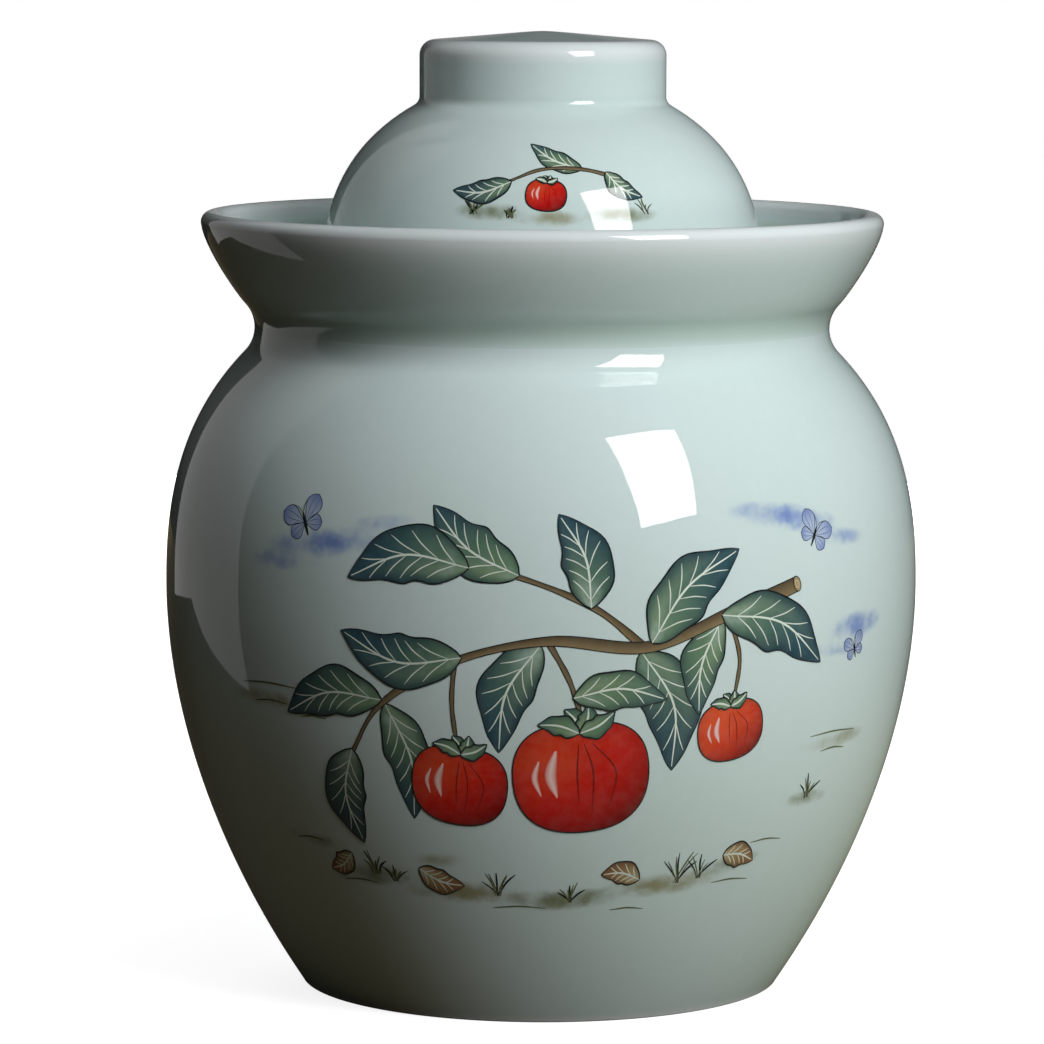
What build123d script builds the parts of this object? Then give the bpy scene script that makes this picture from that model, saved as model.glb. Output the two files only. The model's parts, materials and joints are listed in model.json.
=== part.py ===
from build123d import *
import os
from math import cos, radians, sin, tan

# A water seal pickle jar in glazed porcelain: a pot whose neck stands in a ring-shaped
# water trough, a small inner lid on the neck, and a bell-shaped outer lid whose rim
# stands in the trough. Water in the trough lets gas out and keeps air from coming in.
# Millimetres, +Z up, origin at the centre of the foot, on the surface the jar stands on.
# Every piece is turned about the Z axis from an outline of radius and height.

# Foot and floor
foot_radius = 70.2
foot_ring_width = 8.0
foot_recess = 3.0
foot_edge_round = 1.2
floor_thickness = 8.0
floor_corner_round = 16.0

# Belly and shoulder, with slopes in degrees from upright
wall = 7.0
belly_radius = 110.5
belly_height = 119.0
foot_slope = 28.5
waist_height = 193.5
waist_round = 10.5
shoulder_slope = 44.0

# Neck round the mouth
mouth_radius = 49.5
neck_wall = 6.0
neck_height = 21.0
neck_root_round = 3.5
lip_round = 1.6
under_neck_round = 3.0

# Trough: its floor belongs to the jar body, and its flared collar is a piece of its own
trough_floor_thickness = 7.0
trough_gap = 10.8
seam_rise = 6.5
collar_wall = 6.0
collar_flare = 15.6
collar_height = 33.8
collar_slope = 44.0
collar_lip_slope = 5.0
trough_corner_round = 5.0

# Outer lid: a bell with a hollow knob
lid_wall = 4.6
lid_gap = 5.2
lid_height = 80.0
lid_rim_round = 1.2
knob_radius = 36.1
knob_height = 19.0
knob_root_round = 3.0
knob_root_slope = 60.0
knob_edge_round = 4.5
knob_crown_slope = 4.5
knob_hollow_round = 2.5

# Inner lid: a disc with a plug ring below and a button above
inner_lid_thickness = 5.0
inner_lid_inset = 1.0
inner_lid_rise = 2.5
inner_lid_round = 1.4
plug_clearance = 1.0
plug_depth = 8.0
plug_wall = 4.5
button_radius = 10.0
button_waist_radius = 7.0
button_waist_height = 5.0
button_height = 14.0
button_round = 2.5

# How far each curve keeps the heading of its ends, as shares of the height or width it spans
foot_pull_share = 0.03
belly_pull_below_share = 0.53
belly_pull_above_share = 0.33
shoulder_pull_share = 0.43
under_neck_pull_share = 0.57
inner_belly_pull_share = 0.66
collar_root_pull_share = 0.13
collar_lip_pull_share = 0.30
bell_rim_pull_share = 0.39
bell_top_pull_share = 0.49
crown_edge_pull_share = 0.60
crown_tip_pull_share = 0.12

# Heights that follow from the sizes above
floor_top = foot_recess + floor_thickness
trough_floor = waist_height + seam_rise
under_neck = trough_floor - trough_floor_thickness
lip_height = trough_floor + neck_height
collar_top = waist_height + collar_height
lid_top = trough_floor + lid_height
knob_base = lid_top - knob_height

# Radii that follow, from the mouth outwards: neck, lid, trough, waist and collar
neck_radius = mouth_radius + neck_wall
lid_bore = neck_radius + lid_gap
lid_radius = lid_bore + lid_wall
seam_radius = lid_radius + trough_gap
seam_run = (
    trough_corner_round * tan(radians((90 - collar_slope) / 2))
    + ((waist_round + collar_wall) * sin(radians(collar_slope)) - seam_rise) * tan(radians(collar_slope))
    + collar_wall * cos(radians(collar_slope))
    - waist_round * (1 - cos(radians(collar_slope)))
)
waist_radius = seam_radius + seam_run
collar_radius = waist_radius + collar_flare


def heading(slope):
    """The direction that leans outwards from straight up by a slope in degrees."""
    return Vector(sin(radians(slope)), cos(radians(slope)))


def left_of(direction):
    """The direction a quarter turn to the left of another."""
    return Vector(-direction.Y, direction.X)


def smooth(start, start_heading, start_pull, end, end_heading, end_pull):
    """A curve that leaves its start and reaches its end along two headings."""
    return Bezier(start, start + start_heading * start_pull, end - end_heading * end_pull, end)


def arc(start, start_heading, radius, turn):
    """An arc that leaves its start along a heading and turns left by an angle in degrees."""
    return JernArc(start=start, tangent=start_heading, radius=radius, arc_size=turn)


def turned(*edges):
    """The solid turned about the Z axis from edges that follow each other and a closing line."""
    closing = Line(edges[-1] @ 1, edges[0] @ 0)
    outline = Curve() + [*edges, closing]
    return revolve(make_face(Plane.XZ * outline), Axis.Z)


def waist_arc_from(slope, direction):
    """The waist's round between the crease and a wall above it (1) or below it (-1)."""
    reach = waist_round * (1 - cos(radians(slope)))
    rise = waist_round * sin(radians(slope))
    crease = Vector(waist_radius, waist_height)
    wall_end = crease + Vector(reach, direction * rise)
    if direction > 0:
        return arc(crease, heading(0), waist_round, -slope)
    return arc(wall_end, heading(-slope), waist_round, -slope)


def make_jar_body():
    """The pot with its foot, belly and shoulder, the trough's floor and the neck."""
    ring_inner_radius = foot_radius - foot_ring_width
    foot_turn = 90 - foot_slope
    foot_flat_end = foot_radius - foot_edge_round * tan(radians(foot_turn / 2))
    underside = FilletPolyline(
        (0, foot_recess),
        (ring_inner_radius, foot_recess),
        (ring_inner_radius, 0),
        (foot_flat_end, 0),
        radius=foot_edge_round,
    )
    foot_edge = arc(underside @ 1, Vector(1, 0), foot_edge_round, foot_turn)

    belly = Vector(belly_radius, belly_height)
    foot_end = foot_edge @ 1
    lower_height = belly_height - foot_end.Y
    lower_wall = smooth(
        foot_end, heading(foot_slope), lower_height * foot_pull_share,
        belly, heading(0), lower_height * belly_pull_below_share,
    )
    waist_arc = waist_arc_from(shoulder_slope, -1)
    shoulder_end = waist_arc @ 0
    upper_height = shoulder_end.Y - belly_height
    shoulder = smooth(
        belly, heading(0), upper_height * belly_pull_above_share,
        shoulder_end, heading(-shoulder_slope), upper_height * shoulder_pull_share,
    )

    seam_and_neck = FilletPolyline(
        (waist_radius, waist_height),
        (seam_radius, trough_floor),
        (neck_radius, trough_floor),
        (neck_radius, lip_height),
        (mouth_radius, lip_height),
        (mouth_radius, under_neck + under_neck_round),
        radius=[0, neck_root_round, lip_round, lip_round],
    )
    under_neck_arc = arc(seam_and_neck @ 1, Vector(0, -1), under_neck_round, 90)

    inner_belly = Vector(belly_radius - wall, belly_height)
    inner_width = inner_belly.X - (under_neck_arc @ 1).X
    inner_upper_height = under_neck - belly_height
    inner_shoulder = smooth(
        under_neck_arc @ 1, Vector(1, 0), inner_width * under_neck_pull_share,
        inner_belly, heading(180), inner_upper_height * inner_belly_pull_share,
    )
    inner_foot = foot_end + left_of(heading(foot_slope)) * wall
    floor_corner = inner_foot + heading(foot_slope) * ((floor_top - inner_foot.Y) / cos(radians(foot_slope)))
    corner_reach = floor_corner_round * tan(radians(foot_turn / 2))
    floor_arc_start = floor_corner + heading(foot_slope) * corner_reach
    inner_lower_height = belly_height - floor_arc_start.Y
    inner_lower_wall = smooth(
        inner_belly, heading(180), inner_lower_height * belly_pull_below_share,
        floor_arc_start, heading(180 + foot_slope), inner_lower_height * foot_pull_share,
    )
    floor_arc = arc(floor_arc_start, heading(180 + foot_slope), floor_corner_round, -foot_turn)
    floor_line = Line(floor_arc @ 1, (0, floor_top))
    return turned(
        underside, foot_edge, lower_wall, shoulder, waist_arc, seam_and_neck,
        under_neck_arc, inner_shoulder, inner_lower_wall, floor_arc, floor_line,
    )


def make_water_trough():
    """The flared collar that stands on the shoulder, from the crease of the waist to its lip."""
    lip_radius = collar_wall / 2
    waist_arc = waist_arc_from(collar_slope, 1)
    flare_start = waist_arc @ 1
    flare_end = Vector(collar_radius, collar_top - lip_radius * (1 + sin(radians(collar_lip_slope))))
    flare_height = flare_end.Y - flare_start.Y
    flare = smooth(
        flare_start, heading(collar_slope), flare_height * collar_root_pull_share,
        flare_end, heading(collar_lip_slope), flare_height * collar_lip_pull_share,
    )
    lip_arc = arc(flare_end, heading(collar_lip_slope), lip_radius, 180)

    corner_turn = 90 - collar_slope
    seam = Vector(seam_radius, trough_floor)
    corner = seam + Vector(trough_corner_round * tan(radians(corner_turn / 2)), 0)
    corner_start = corner + heading(collar_slope) * (corner.X - seam.X)
    inner_height = (lip_arc @ 1).Y - corner_start.Y
    inner_flare = smooth(
        lip_arc @ 1, heading(180 + collar_lip_slope), inner_height * collar_lip_pull_share,
        corner_start, heading(180 + collar_slope), inner_height * collar_root_pull_share,
    )
    corner_arc = arc(corner_start, heading(180 + collar_slope), trough_corner_round, -corner_turn)
    return turned(waist_arc, flare, lip_arc, inner_flare, corner_arc)


def make_outer_lid():
    """The bell whose rim stands in the trough, with its hollow knob."""
    root_reach = knob_root_round * (1 - cos(radians(knob_root_slope)))
    root_rise = knob_root_round * sin(radians(knob_root_slope))
    bell_top = Vector(knob_radius + root_reach, knob_base - root_rise)
    inner_bell_top = bell_top + left_of(heading(-knob_root_slope)) * lid_wall
    inner_knob_radius = knob_radius - lid_wall
    crown_turn = 90 - knob_crown_slope
    crown_width = knob_radius - knob_edge_round * (1 - cos(radians(crown_turn)))
    crown_edge = Vector(crown_width, lid_top - crown_width * tan(radians(knob_crown_slope)))
    inner_knob_top = crown_edge.Y - lid_wall

    rim = FilletPolyline(
        (lid_bore, trough_floor + lid_rim_round + lid_rim_round),
        (lid_bore, trough_floor),
        (lid_radius, trough_floor),
        (lid_radius, trough_floor + lid_rim_round + lid_rim_round),
        radius=lid_rim_round,
    )
    bell_height = bell_top.Y - (rim @ 1).Y
    bell = smooth(
        rim @ 1, heading(0), bell_height * bell_rim_pull_share,
        bell_top, heading(-knob_root_slope), bell_height * bell_top_pull_share,
    )
    knob_root = arc(bell_top, heading(-knob_root_slope), knob_root_round, -knob_root_slope)

    knob_side = Line(knob_root @ 1, (knob_radius, crown_edge.Y - knob_edge_round * sin(radians(crown_turn))))
    knob_edge = arc(knob_side @ 1, heading(0), knob_edge_round, crown_turn)
    crown = smooth(
        crown_edge, heading(-crown_turn), crown_width * crown_edge_pull_share,
        Vector(0, lid_top), Vector(-1, 0), crown_width * crown_tip_pull_share,
    )

    knob_hollow = FilletPolyline(
        (0, inner_knob_top),
        (inner_knob_radius, inner_knob_top),
        (inner_knob_radius, knob_base),
        radius=knob_hollow_round,
    )
    inner_root = arc(knob_hollow @ 1, heading(180), knob_root_round + lid_wall, knob_root_slope)
    inner_bell_height = inner_bell_top.Y - (rim @ 0).Y
    inner_bell = smooth(
        inner_bell_top, heading(180 - knob_root_slope), inner_bell_height * bell_top_pull_share,
        rim @ 0, heading(180), inner_bell_height * bell_rim_pull_share,
    )
    return turned(knob_hollow, inner_root, inner_bell, rim, bell, knob_root, knob_side, knob_edge, crown)


def make_inner_lid():
    """The small lid whose disc rests on the neck and whose plug ring stands in the mouth."""
    flange_radius = neck_radius - inner_lid_inset
    plug_radius = mouth_radius - plug_clearance
    disc_edge_top = lip_height + inner_lid_thickness
    disc_top = disc_edge_top + inner_lid_rise
    outline = FilletPolyline(
        (0, lip_height),
        (plug_radius - plug_wall, lip_height),
        (plug_radius - plug_wall, lip_height - plug_depth),
        (plug_radius, lip_height - plug_depth),
        (plug_radius, lip_height),
        (flange_radius, lip_height),
        (flange_radius, disc_edge_top),
        (button_waist_radius, disc_top),
        (button_waist_radius, disc_top + button_waist_height),
        (button_radius, disc_top + button_waist_height),
        (button_radius, disc_top + button_height),
        (0, disc_top + button_height),
        radius=[
            inner_lid_round, inner_lid_round, inner_lid_round, 0, inner_lid_round,
            inner_lid_round, button_round, 0, button_round, button_round,
        ],
    )
    return turned(outline)


os.makedirs("parts", exist_ok=True)
export_step(make_jar_body(), "parts/jar_body.step")
export_step(make_water_trough(), "parts/water_trough.step")
export_step(make_outer_lid(), "parts/outer_lid.step")
export_step(make_inner_lid(), "parts/inner_lid.step")
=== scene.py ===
import cmath
import json
from math import cos, pi, radians, sin, tan

import bpy
import numpy as np
from mathutils import Matrix, Vector

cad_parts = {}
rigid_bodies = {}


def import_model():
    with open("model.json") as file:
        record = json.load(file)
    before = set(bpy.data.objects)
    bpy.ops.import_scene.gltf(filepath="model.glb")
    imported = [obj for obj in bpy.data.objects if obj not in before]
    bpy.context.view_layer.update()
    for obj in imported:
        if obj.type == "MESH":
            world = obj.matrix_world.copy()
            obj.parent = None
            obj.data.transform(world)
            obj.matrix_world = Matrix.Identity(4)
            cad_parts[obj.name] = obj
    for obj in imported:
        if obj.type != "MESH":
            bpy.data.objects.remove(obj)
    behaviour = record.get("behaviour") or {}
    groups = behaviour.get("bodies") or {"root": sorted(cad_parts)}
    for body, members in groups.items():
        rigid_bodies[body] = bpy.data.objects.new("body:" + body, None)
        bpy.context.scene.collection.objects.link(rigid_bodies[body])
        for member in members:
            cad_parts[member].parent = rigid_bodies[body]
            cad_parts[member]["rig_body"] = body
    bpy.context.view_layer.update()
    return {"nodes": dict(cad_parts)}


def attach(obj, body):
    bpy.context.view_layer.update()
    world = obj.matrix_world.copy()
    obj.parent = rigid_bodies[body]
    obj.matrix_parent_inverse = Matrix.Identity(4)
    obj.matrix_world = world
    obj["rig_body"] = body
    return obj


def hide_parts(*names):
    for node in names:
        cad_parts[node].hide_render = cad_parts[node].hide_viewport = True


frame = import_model()

MM = 0.001

# Sizes of the clay, in metres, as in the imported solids
foot_radius = 0.0702
foot_ring_width = 0.008
foot_recess = 0.003
foot_edge_round = 0.0012
floor_thickness = 0.008
floor_corner_round = 0.016
wall = 0.007
belly_radius = 0.1105
belly_height = 0.119
foot_slope = 28.5
waist_height = 0.1935
waist_round = 0.0105
shoulder_slope = 44.0
mouth_radius = 0.0495
neck_wall = 0.006
neck_height = 0.021
neck_root_round = 0.0035
lip_round = 0.0016
under_neck_round = 0.003
trough_floor_thickness = 0.007
trough_gap = 0.0108
seam_rise = 0.0065
collar_wall = 0.006
collar_flare = 0.0156
collar_height = 0.0338
collar_slope = 44.0
collar_lip_slope = 5.0
trough_corner_round = 0.005
lid_wall = 0.0046
lid_gap = 0.0052
lid_height = 0.080
lid_rim_round = 0.0012
knob_radius = 0.0361
knob_height = 0.019
knob_root_round = 0.003
knob_root_slope = 60.0
knob_edge_round = 0.0045
knob_crown_slope = 4.5
knob_hollow_round = 0.0025
inner_lid_thickness = 0.005
inner_lid_inset = 0.001
inner_lid_rise = 0.0025
inner_lid_round = 0.0014
plug_clearance = 0.001
plug_depth = 0.008
plug_wall = 0.0045
button_radius = 0.010
button_waist_radius = 0.007
button_waist_height = 0.005
button_height = 0.014
button_round = 0.0025

foot_pull_share = 0.03
belly_pull_below_share = 0.53
belly_pull_above_share = 0.33
shoulder_pull_share = 0.43
under_neck_pull_share = 0.57
inner_belly_pull_share = 0.66
collar_root_pull_share = 0.13
collar_lip_pull_share = 0.30
bell_rim_pull_share = 0.39
bell_top_pull_share = 0.49
crown_edge_pull_share = 0.60
crown_tip_pull_share = 0.12

floor_top = foot_recess + floor_thickness
trough_floor = waist_height + seam_rise
under_neck = trough_floor - trough_floor_thickness
lip_height = trough_floor + neck_height
collar_top = waist_height + collar_height
lid_top = trough_floor + lid_height
knob_base = lid_top - knob_height
neck_radius = mouth_radius + neck_wall
lid_bore = neck_radius + lid_gap
lid_radius = lid_bore + lid_wall
seam_radius = lid_radius + trough_gap
seam_run = (
    trough_corner_round * tan(radians((90 - collar_slope) / 2))
    + ((waist_round + collar_wall) * sin(radians(collar_slope)) - seam_rise) * tan(radians(collar_slope))
    + collar_wall * cos(radians(collar_slope))
    - waist_round * (1 - cos(radians(collar_slope)))
)
waist_radius = seam_radius + seam_run
collar_radius = waist_radius + collar_flare

# How deep the glaze lies, from -1 where it is thin and pale to 1 where it has run together
crease_depth = 0.45
lip_depth = -0.55
knob_root_depth = 0.22
rounding_where_thinnest = 0.004
hollow_depth_share = 0.6
glaze_flow = 0.0016


# Outlines. A point is a complex number: its real part is the radius and its imaginary part the height.

def heading(slope):
    """The direction that leans outwards from straight up by a slope in degrees."""
    return complex(sin(radians(slope)), cos(radians(slope)))


class Outline:
    """A profile grown edge by edge with the clay on its left, with a mark where no glaze covers it."""

    step = 0.0022
    arc_step = 5.0

    def __init__(self, start):
        self.points = [start]
        self.pooling = [0.0]
        self.bare = [0.0]
        self.wall = []

    def mark_wall(self):
        """Called where the painted wall starts and where it ends."""
        self.wall.append(len(self.points) - 1)

    def add(self, points, pooling=0.0, bare=False):
        self.points += points
        self.pooling += [pooling] * len(points)
        self.bare += [float(bare)] * len(points)

    @property
    def end(self):
        return self.points[-1]

    def line(self, end, bare=False):
        start = self.end
        count = max(1, round(abs(end - start) / self.step))
        self.add([start + (end - start) * k / count for k in range(1, count + 1)], bare=bare)
        return self

    def arc(self, direction, radius, turn, bare=False, depth=None):
        """An arc to the left by turn degrees, or to the right where turn is below 0; depth is the glaze's."""
        side = 1j if turn > 0 else -1j
        centre = self.end + direction * side * radius
        spoke = self.end - centre
        count = max(3, round(abs(turn) / self.arc_step))
        points = [centre + spoke * cmath.exp(1j * radians(turn) * k / count) for k in range(1, count + 1)]
        if depth is None:
            depth = min(1.0, rounding_where_thinnest / radius) * (-1 if turn > 0 else hollow_depth_share)
        self.add(points, pooling=depth, bare=bare)
        return self

    def smooth(self, direction, pull, end, end_direction, end_pull, depths=(0, 0)):
        """A curve from the end so far, with a direction and a pull at both ends, between two glaze depths."""
        start = self.end
        a, b = start + direction * pull, end - end_direction * end_pull
        count = max(8, round(abs(end - start) / self.step))
        shares = [k / count for k in range(1, count + 1)]
        self.add([
            (1 - s) ** 3 * start + 3 * (1 - s) ** 2 * s * a + 3 * (1 - s) * s * s * b + s ** 3 * end
            for s in shares
        ])
        self.pooling[-count:] = [depths[0] + (depths[1] - depths[0]) * s for s in shares]
        return self

    def corners(self, *corners, bare=()):
        """Lines through corners given as (point, round); bare numbers the lines that have no glaze."""
        for k, (corner, rounding) in enumerate(corners):
            if rounding == 0 or k == len(corners) - 1:
                self.line(corner, bare=k in bare)
                continue
            before = (corner - self.end) / abs(corner - self.end)
            after = (corners[k + 1][0] - corner) / abs(corners[k + 1][0] - corner)
            turn = cmath.phase(after / before)
            self.line(corner - before * rounding * tan(abs(turn) / 2), bare=k in bare)
            self.arc(before, rounding, turn * 180 / pi, bare=k in bare and k + 1 in bare)
        return self


def waist_round_start(slope, direction):
    reach = waist_round * (1 - cos(radians(slope)))
    return complex(waist_radius + reach, waist_height + direction * waist_round * sin(radians(slope)))


def jar_body_outline():
    ring_inner = foot_radius - foot_ring_width
    foot_turn = 90 - foot_slope
    flat_end = foot_radius - foot_edge_round * tan(radians(foot_turn / 2))
    o = Outline(complex(0, foot_recess))
    o.corners(
        (complex(ring_inner, foot_recess), foot_edge_round),
        (complex(ring_inner, 0), foot_edge_round),
        (complex(flat_end, 0), 0),
        bare=(2,),
    )
    o.arc(1, foot_edge_round, foot_turn)
    foot_end = o.end
    o.mark_wall()
    lower_height = belly_height - foot_end.imag
    o.smooth(
        heading(foot_slope), lower_height * foot_pull_share,
        complex(belly_radius, belly_height), heading(0), lower_height * belly_pull_below_share,
    )
    shoulder_end = waist_round_start(shoulder_slope, -1)
    upper_height = shoulder_end.imag - belly_height
    o.smooth(
        heading(0), upper_height * belly_pull_above_share,
        shoulder_end, heading(-shoulder_slope), upper_height * shoulder_pull_share,
    )
    o.mark_wall()
    o.arc(heading(-shoulder_slope), waist_round, -shoulder_slope, depth=0)
    o.corners(
        (complex(seam_radius, trough_floor), 0),
        (complex(neck_radius, trough_floor), neck_root_round),
        (complex(neck_radius, lip_height), lip_round),
        (complex(mouth_radius, lip_height), lip_round),
        (complex(mouth_radius, under_neck + under_neck_round), 0),
        bare=(3,),
    )
    o.arc(-1j, under_neck_round, 90)
    inner_belly = complex(belly_radius - wall, belly_height)
    o.smooth(
        1, (inner_belly.real - o.end.real) * under_neck_pull_share,
        inner_belly, heading(180), (under_neck - belly_height) * inner_belly_pull_share,
    )
    inner_foot = foot_end + 1j * heading(foot_slope) * wall
    to_floor = (floor_top - inner_foot.imag) / cos(radians(foot_slope))
    floor_corner = inner_foot + heading(foot_slope) * to_floor
    arc_start = floor_corner + heading(foot_slope) * floor_corner_round * tan(radians(foot_turn / 2))
    inner_lower_height = belly_height - arc_start.imag
    o.smooth(
        heading(180), inner_lower_height * belly_pull_below_share,
        arc_start, heading(180 + foot_slope), inner_lower_height * foot_pull_share,
    )
    o.arc(heading(180 + foot_slope), floor_corner_round, -foot_turn)
    return o.line(complex(0, floor_top))


def water_trough_outline():
    lip = collar_wall / 2
    o = Outline(complex(waist_radius, waist_height))
    o.arc(heading(0), waist_round, -collar_slope, depth=crease_depth)
    flare_end = complex(collar_radius, collar_top - lip * (1 + sin(radians(collar_lip_slope))))
    flare_height = flare_end.imag - o.end.imag
    o.smooth(
        heading(collar_slope), flare_height * collar_root_pull_share,
        flare_end, heading(collar_lip_slope), flare_height * collar_lip_pull_share,
        depths=(crease_depth, lip_depth),
    )
    o.arc(heading(collar_lip_slope), lip, 180)
    corner_turn = 90 - collar_slope
    corner_reach = trough_corner_round * tan(radians(corner_turn / 2))
    corner_start = complex(seam_radius + corner_reach, trough_floor) + heading(collar_slope) * corner_reach
    inner_height = o.end.imag - corner_start.imag
    o.smooth(
        heading(180 + collar_lip_slope), inner_height * collar_lip_pull_share,
        corner_start, heading(180 + collar_slope), inner_height * collar_root_pull_share,
        depths=(crease_depth, crease_depth),
    )
    o.arc(heading(180 + collar_slope), trough_corner_round, -corner_turn, depth=crease_depth)
    return o.line(complex(waist_radius, waist_height))


def outer_lid_outline():
    root_reach = knob_root_round * (1 - cos(radians(knob_root_slope)))
    bell_top = complex(knob_radius + root_reach, knob_base - knob_root_round * sin(radians(knob_root_slope)))
    inner_bell_top = bell_top + 1j * heading(-knob_root_slope) * lid_wall
    inner_knob = knob_radius - lid_wall
    crown_turn = 90 - knob_crown_slope
    crown_width = knob_radius - knob_edge_round * (1 - cos(radians(crown_turn)))
    crown_edge = lid_top - crown_width * tan(radians(knob_crown_slope))
    o = Outline(complex(0, crown_edge - lid_wall))
    o.corners(
        (complex(inner_knob, crown_edge - lid_wall), knob_hollow_round),
        (complex(inner_knob, knob_base), 0),
    )
    o.arc(heading(180), knob_root_round + lid_wall, knob_root_slope)
    rim_start = complex(lid_bore, trough_floor + 2 * lid_rim_round)
    inner_height = inner_bell_top.imag - rim_start.imag
    o.smooth(
        heading(180 - knob_root_slope), inner_height * bell_top_pull_share,
        rim_start, heading(180), inner_height * bell_rim_pull_share,
    )
    o.corners(
        (complex(lid_bore, trough_floor), lid_rim_round),
        (complex(lid_radius, trough_floor), lid_rim_round),
        (complex(lid_radius, trough_floor + 2 * lid_rim_round), 0),
        bare=(1,),
    )
    o.mark_wall()
    bell_height = bell_top.imag - o.end.imag
    o.smooth(
        heading(0), bell_height * bell_rim_pull_share,
        bell_top, heading(-knob_root_slope), bell_height * bell_top_pull_share,
    )
    o.mark_wall()
    o.arc(heading(-knob_root_slope), knob_root_round, -knob_root_slope, depth=knob_root_depth)
    o.line(complex(knob_radius, crown_edge - knob_edge_round * sin(radians(crown_turn))))
    o.arc(heading(0), knob_edge_round, crown_turn)
    return o.smooth(
        heading(-crown_turn), crown_width * crown_edge_pull_share,
        complex(0, lid_top), -1, crown_width * crown_tip_pull_share,
    )


def inner_lid_outline():
    flange = neck_radius - inner_lid_inset
    plug = mouth_radius - plug_clearance
    disc_edge = lip_height + inner_lid_thickness
    disc_top = disc_edge + inner_lid_rise
    o = Outline(complex(0, lip_height))
    return o.corners(
        (complex(plug - plug_wall, lip_height), inner_lid_round),
        (complex(plug - plug_wall, lip_height - plug_depth), inner_lid_round),
        (complex(plug, lip_height - plug_depth), inner_lid_round),
        (complex(plug, lip_height), 0),
        (complex(flange, lip_height), inner_lid_round),
        (complex(flange, disc_edge), inner_lid_round),
        (complex(button_waist_radius, disc_top), button_round),
        (complex(button_waist_radius, disc_top + button_waist_height), 0),
        (complex(button_radius, disc_top + button_waist_height), button_round),
        (complex(button_radius, disc_top + button_height), button_round),
        (complex(0, disc_top + button_height), 0),
        bare=(4,),
    )


# Turning an outline into a mesh

turns_around = 240
sharp_angle = radians(38)
on_axis = 1e-9


def blurred(values, lengths, reach):
    """Values along an outline, each averaged with its neighbours over a reach in metres."""
    out = []
    for here in lengths:
        weights = np.exp(-(((lengths - here) / reach) ** 2))
        out.append(float((weights * values).sum() / weights.sum()))
    return np.array(out)


def lathe(name, outline, node):
    """A closed mesh turned from an outline, which stands for a CAD node and rides on its body."""
    points = np.array(outline.points)
    closed = points[0].real > on_axis
    if closed:
        points = points[:-1]
    lengths = np.concatenate([[0], np.cumsum(abs(np.diff(points)))])
    pooling = blurred(np.array(outline.pooling[:len(points)]), lengths, glaze_flow)
    bare = np.array(outline.bare[:len(points)])
    angles = np.arange(turns_around) * 2 * pi / turns_around
    vertices, rows, values, bares = [], [], [], []
    for point, value, mark in zip(points, pooling, bare):
        if point.real < on_axis:
            rows.append([len(vertices)] * turns_around)
            vertices.append((0, 0, point.imag))
            values.append(value)
            bares.append(mark)
            continue
        rows.append(list(range(len(vertices), len(vertices) + turns_around)))
        vertices += [(point.real * sin(a), -point.real * cos(a), point.imag) for a in angles]
        values += [value] * turns_around
        bares += [mark] * turns_around
    faces = []
    following = rows[1:] + rows[:1] if closed else rows[1:]
    for low, high in zip(rows, following):
        for k in range(turns_around):
            n = (k + 1) % turns_around
            face = [low[k], low[n], high[n], high[k]]
            face = [v for i, v in enumerate(face) if v != face[i - 1]]
            faces.append(face)
    mesh = bpy.data.meshes.new(name)
    mesh.from_pydata(vertices, [], faces)
    mesh.attributes.new("pooling", "FLOAT", "POINT").data.foreach_set("value", values)
    mesh.attributes.new("bare", "FLOAT", "POINT").data.foreach_set("value", bares)
    mesh.shade_smooth()
    mesh.set_sharp_from_angle(angle=sharp_angle)
    piece = bpy.data.objects.new(name, mesh)
    bpy.context.scene.collection.objects.link(piece)
    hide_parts(node)
    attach(piece, frame["nodes"][node]["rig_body"])
    return piece


# Materials

def srgb(red, green, blue):
    """A colour given in 0 to 255 as it shows on screen, as the linear one that a shader takes."""
    def linear(value):
        share = value / 255
        return share / 12.92 if share <= 0.04045 else ((share + 0.055) / 1.055) ** 2.4
    return (linear(red), linear(green), linear(blue), 1)


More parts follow.
